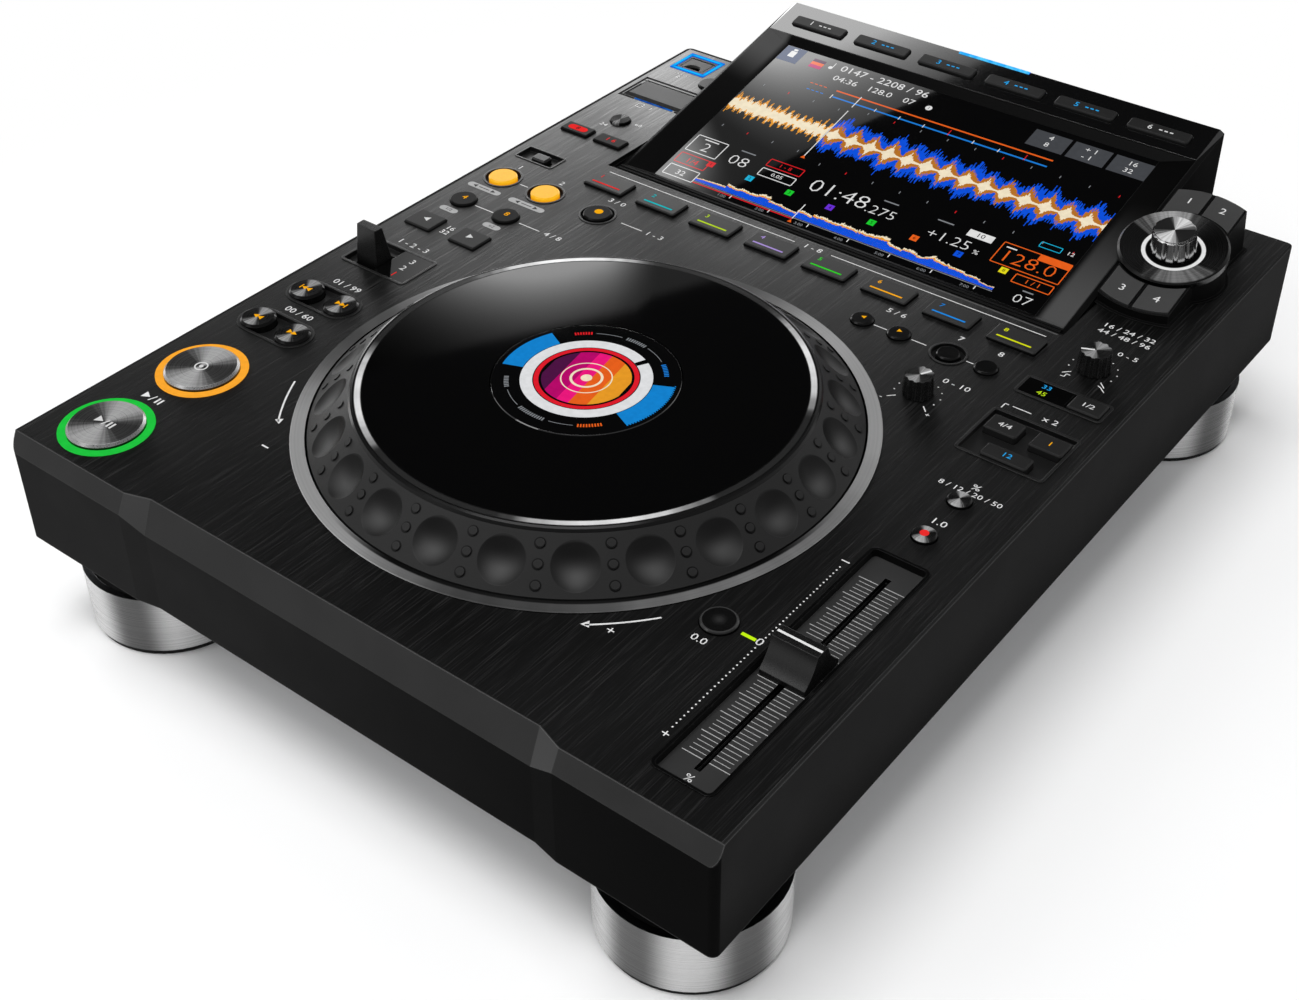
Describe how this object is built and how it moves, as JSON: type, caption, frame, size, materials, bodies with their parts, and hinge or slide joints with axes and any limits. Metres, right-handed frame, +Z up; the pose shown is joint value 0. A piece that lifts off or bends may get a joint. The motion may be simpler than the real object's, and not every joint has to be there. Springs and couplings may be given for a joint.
{
  "type": "tabletop dj media player",
  "caption": "Tabletop deck with a large jog wheel round a fixed centre display, a tilted touch screen, a tempo slider, cue and loop keys, pads, levers and knobs on four round feet.",
  "frame": {"origin": "on the desk, under the middle of the overall footprint (bottom centre of the bounding box)", "axes": "+X to the performer's right, +Y away from the performer towards the sockets, +Z up"},
  "size_m": [0.329, 0.4494, 0.1184],
  "materials": {
    "panel_metal": "fine brushed, dark grey satin",
    "case_plastic": "fine textured, dark grey",
    "chassis_steel": "plain sheet",
    "screw_steel": "plated",
    "foot_metal": "turned",
    "foot_rubber": "matte",
    "jog_ring_silver": "satin ring",
    "jog_black": "satin black with bright upper edge",
    "platter_black": "finely grooved black",
    "bearing_plastic": "natural acetal",
    "post_metal": "die cast",
    "display_glass": "clear window over a round display",
    "bezel_black": "moulded black",
    "lever_black": "moulded black",
    "key_metal": "spun",
    "key_black": "moulded black",
    "key_grey": "satin grey",
    "key_amber": "translucent amber",
    "knob_black": "moulded black with spun top",
    "fader_metal": "plain sheet",
    "screen_glass": "clear glass over a display",
    "lit_diffuser": "translucent",
    "board_green": "circuit board",
    "supply_steel": "perforated sheet",
    "socket_black": "moulded black",
    "window_smoke": "smoked cover"
  },
  "bodies": {
    "body": {"top_panel": "panel_metal", "case_shell": "case_plastic", "chassis_plate": "chassis_steel", "case_screws": "screw_steel", "foot_shells": "foot_metal", "foot_cores": "foot_rubber", "jog_ring": "jog_ring_silver", "jog_bearing": "bearing_plastic", "jog_post": "post_metal", "jog_display": "display_glass", "key_bezels": "bezel_black", "slider_tray": "panel_metal", "tempo_fader": "fader_metal", "hump_case": "case_plastic", "screen_bezel": "bezel_black", "touch_screen": "screen_glass", "selector_pod": "case_plastic", "selector_ring": "bezel_black", "light_pipes": "lit_diffuser", "media_bays": "bezel_black", "key_boards": "board_green", "main_board": "board_green", "power_supply": "supply_steel", "rear_sockets": "socket_black"},
    "jog_wheel": {"jog_dial": "jog_black", "jog_platter": "platter_black"},
    "direction_lever": {"direction_lever": "lever_black"},
    "call_lever": {"call_lever": "lever_black"},
    "play_key": {"play_key": "key_metal"},
    "cue_key": {"cue_key": "key_metal"},
    "search_keys": {"search_keys": "key_metal"},
    "track_search_keys": {"track_search_keys": "key_metal"},
    "beat_jump_keys": {"beat_jump_keys": "key_black"},
    "beat_loop_keys": {"beat_loop_keys": "key_black"},
    "loop_in_key": {"loop_in_key": "key_amber"},
    "loop_out_key": {"loop_out_key": "key_amber"},
    "reloop_key": {"reloop_key": "key_black"},
    "rear_left_keys": {"rear_left_keys": "key_black"},
    "hot_cue_pad_1": {"hot_cue_pad_1": "key_grey"},
    "hot_cue_pad_2": {"hot_cue_pad_2": "key_grey"},
    "hot_cue_pad_3": {"hot_cue_pad_3": "key_grey"},
    "hot_cue_pad_4": {"hot_cue_pad_4": "key_grey"},
    "hot_cue_pad_5": {"hot_cue_pad_5": "key_grey"},
    "hot_cue_pad_6": {"hot_cue_pad_6": "key_grey"},
    "hot_cue_pad_7": {"hot_cue_pad_7": "key_grey"},
    "hot_cue_pad_8": {"hot_cue_pad_8": "key_grey"},
    "call_keys": {"call_keys": "key_black"},
    "tempo_keys": {"tempo_keys": "key_metal"},
    "jog_mode_key": {"jog_mode_key": "key_black"},
    "sync_keys": {"sync_keys": "key_grey"},
    "master_key": {"master_key": "key_grey"},
    "jog_adjust_knob": {"jog_adjust_knob": "knob_black"},
    "speed_knob": {"speed_knob": "knob_black"},
    "slider_cap": {"slider_cap": "lever_black"},
    "strip_keys": {"strip_keys": "key_grey"},
    "pod_keys": {"pod_keys": "key_grey"},
    "selector_knob": {"selector_knob": "knob_black"},
    "sd_door": {"sd_door": "window_smoke"},
    "usb_cover": {"usb_cover": "window_smoke"},
    "power_key": {"power_key": "key_black"}
  },
  "joints": [
    {"name": "jog_wheel_spin", "type": "hinge", "parent": "body", "child": "jog_wheel", "pos_m": [0, -0.0828, 0.088], "axis": [0, 0, 1], "continuous": true},
    {"name": "play_key_press", "type": "slide", "parent": "body", "child": "play_key", "axis": [0, 0, -1], "range_m": [0, 0.0008], "stiffness_N_per_m": 800},
    {"name": "cue_key_press", "type": "slide", "parent": "body", "child": "cue_key", "axis": [0, 0, -1], "range_m": [0, 0.0008], "stiffness_N_per_m": 800},
    {"name": "search_keys_press", "type": "slide", "parent": "body", "child": "search_keys", "axis": [0, 0, -1], "range_m": [0, 0.0008], "stiffness_N_per_m": 800},
    {"name": "track_search_keys_press", "type": "slide", "parent": "body", "child": "track_search_keys", "axis": [0, 0, -1], "range_m": [0, 0.0008], "stiffness_N_per_m": 800},
    {"name": "beat_jump_keys_press", "type": "slide", "parent": "body", "child": "beat_jump_keys", "axis": [0, 0, -1], "range_m": [0, 0.0008], "stiffness_N_per_m": 800},
    {"name": "beat_loop_keys_press", "type": "slide", "parent": "body", "child": "beat_loop_keys", "axis": [0, 0, -1], "range_m": [0, 0.0008], "stiffness_N_per_m": 800},
    {"name": "loop_in_key_press", "type": "slide", "parent": "body", "child": "loop_in_key", "axis": [0, 0, -1], "range_m": [0, 0.0008], "stiffness_N_per_m": 800},
    {"name": "loop_out_key_press", "type": "slide", "parent": "body", "child": "loop_out_key", "axis": [0, 0, -1], "range_m": [0, 0.0008], "stiffness_N_per_m": 800},
    {"name": "reloop_key_press", "type": "slide", "parent": "body", "child": "reloop_key", "axis": [0, 0, -1], "range_m": [0, 0.0008], "stiffness_N_per_m": 800},
    {"name": "rear_left_keys_press", "type": "slide", "parent": "body", "child": "rear_left_keys", "axis": [0, 0, -1], "range_m": [0, 0.0008], "stiffness_N_per_m": 800},
    {"name": "hot_cue_pad_1_press", "type": "slide", "parent": "body", "child": "hot_cue_pad_1", "axis": [0, 0, -1], "range_m": [0, 0.0008], "stiffness_N_per_m": 800},
    {"name": "hot_cue_pad_2_press", "type": "slide", "parent": "body", "child": "hot_cue_pad_2", "axis": [0, 0, -1], "range_m": [0, 0.0008], "stiffness_N_per_m": 800},
    {"name": "hot_cue_pad_3_press", "type": "slide", "parent": "body", "child": "hot_cue_pad_3", "axis": [0, 0, -1], "range_m": [0, 0.0008], "stiffness_N_per_m": 800},
    {"name": "hot_cue_pad_4_press", "type": "slide", "parent": "body", "child": "hot_cue_pad_4", "axis": [0, 0, -1], "range_m": [0, 0.0008], "stiffness_N_per_m": 800},
    {"name": "hot_cue_pad_5_press", "type": "slide", "parent": "body", "child": "hot_cue_pad_5", "axis": [0, 0, -1], "range_m": [0, 0.0008], "stiffness_N_per_m": 800},
    {"name": "hot_cue_pad_6_press", "type": "slide", "parent": "body", "child": "hot_cue_pad_6", "axis": [0, 0, -1], "range_m": [0, 0.0008], "stiffness_N_per_m": 800},
    {"name": "hot_cue_pad_7_press", "type": "slide", "parent": "body", "child": "hot_cue_pad_7", "axis": [0, 0, -1], "range_m": [0, 0.0008], "stiffness_N_per_m": 800},
    {"name": "hot_cue_pad_8_press", "type": "slide", "parent": "body", "child": "hot_cue_pad_8", "axis": [0, 0, -1], "range_m": [0, 0.0008], "stiffness_N_per_m": 800},
    {"name": "call_keys_press", "type": "slide", "parent": "body", "child": "call_keys", "axis": [0, 0, -1], "range_m": [0, 0.0008], "stiffness_N_per_m": 800},
    {"name": "tempo_keys_press", "type": "slide", "parent": "body", "child": "tempo_keys", "axis": [0, 0, -1], "range_m": [0, 0.0008], "stiffness_N_per_m": 800},
    {"name": "jog_mode_key_press", "type": "slide", "parent": "body", "child": "jog_mode_key", "axis": [0, 0, -1], "range_m": [0, 0.0008], "stiffness_N_per_m": 800},
    {"name": "sync_keys_press", "type": "slide", "parent": "body", "child": "sync_keys", "axis": [0, 0, -1], "range_m": [0, 0.0008], "stiffness_N_per_m": 800},
    {"name": "master_key_press", "type": "slide", "parent": "body", "child": "master_key", "axis": [0, 0, -1], "range_m": [0, 0.0008], "stiffness_N_per_m": 800},
    {"name": "strip_keys_press", "type": "slide", "parent": "body", "child": "strip_keys", "axis": [0, 0.2224, -0.975], "range_m": [0, 0.0008], "stiffness_N_per_m": 800},
    {"name": "pod_keys_press", "type": "slide", "parent": "body", "child": "pod_keys", "axis": [0, 0.2224, -0.975], "range_m": [0, 0.0008], "stiffness_N_per_m": 800},
    {"name": "power_key_press", "type": "slide", "parent": "body", "child": "power_key", "axis": [0, -1, 0], "range_m": [0, 0.0015], "stiffness_N_per_m": 600},
    {"name": "direction_lever_tilt", "type": "hinge", "parent": "body", "child": "direction_lever", "pos_m": [-0.1452, -0.0505, 0.08], "axis": [1, 0, 0], "range_deg": [-14, 14]},
    {"name": "call_lever_slide", "type": "slide", "parent": "body", "child": "call_lever", "axis": [1, 0, 0], "range_m": [-0.0035, 0.0035], "stiffness_N_per_m": 200},
    {"name": "jog_adjust_turn", "type": "hinge", "parent": "body", "child": "jog_adjust_knob", "pos_m": [0.0923, 0.0053, 0.088], "axis": [0, 0, 1], "range_deg": [-150, 150]},
    {"name": "speed_turn", "type": "hinge", "parent": "body", "child": "speed_knob", "pos_m": [0.1388, 0.0609, 0.088], "axis": [0, 0, 1], "range_deg": [-150, 150]},
    {"name": "tempo_slide", "type": "slide", "parent": "body", "child": "slider_cap", "axis": [0, 1, 0], "range_m": [-0.05, 0.05]},
    {"name": "selector_turn", "type": "hinge", "parent": "body", "child": "selector_knob", "pos_m": [0.1328, 0.14231, 0.09931], "axis": [0, -0.2224, 0.975], "continuous": true},
    {"name": "sd_door_hinge", "type": "hinge", "parent": "body", "child": "sd_door", "pos_m": [-0.13915, 0.1556, 0.0872], "axis": [-1, 0, 0], "range_deg": [0, 95]},
    {"name": "usb_cover_hinge", "type": "hinge", "parent": "body", "child": "usb_cover", "pos_m": [-0.1483, 0.1904, 0.0872], "axis": [-1, 0, 0], "range_deg": [0, 95]}
  ]
}
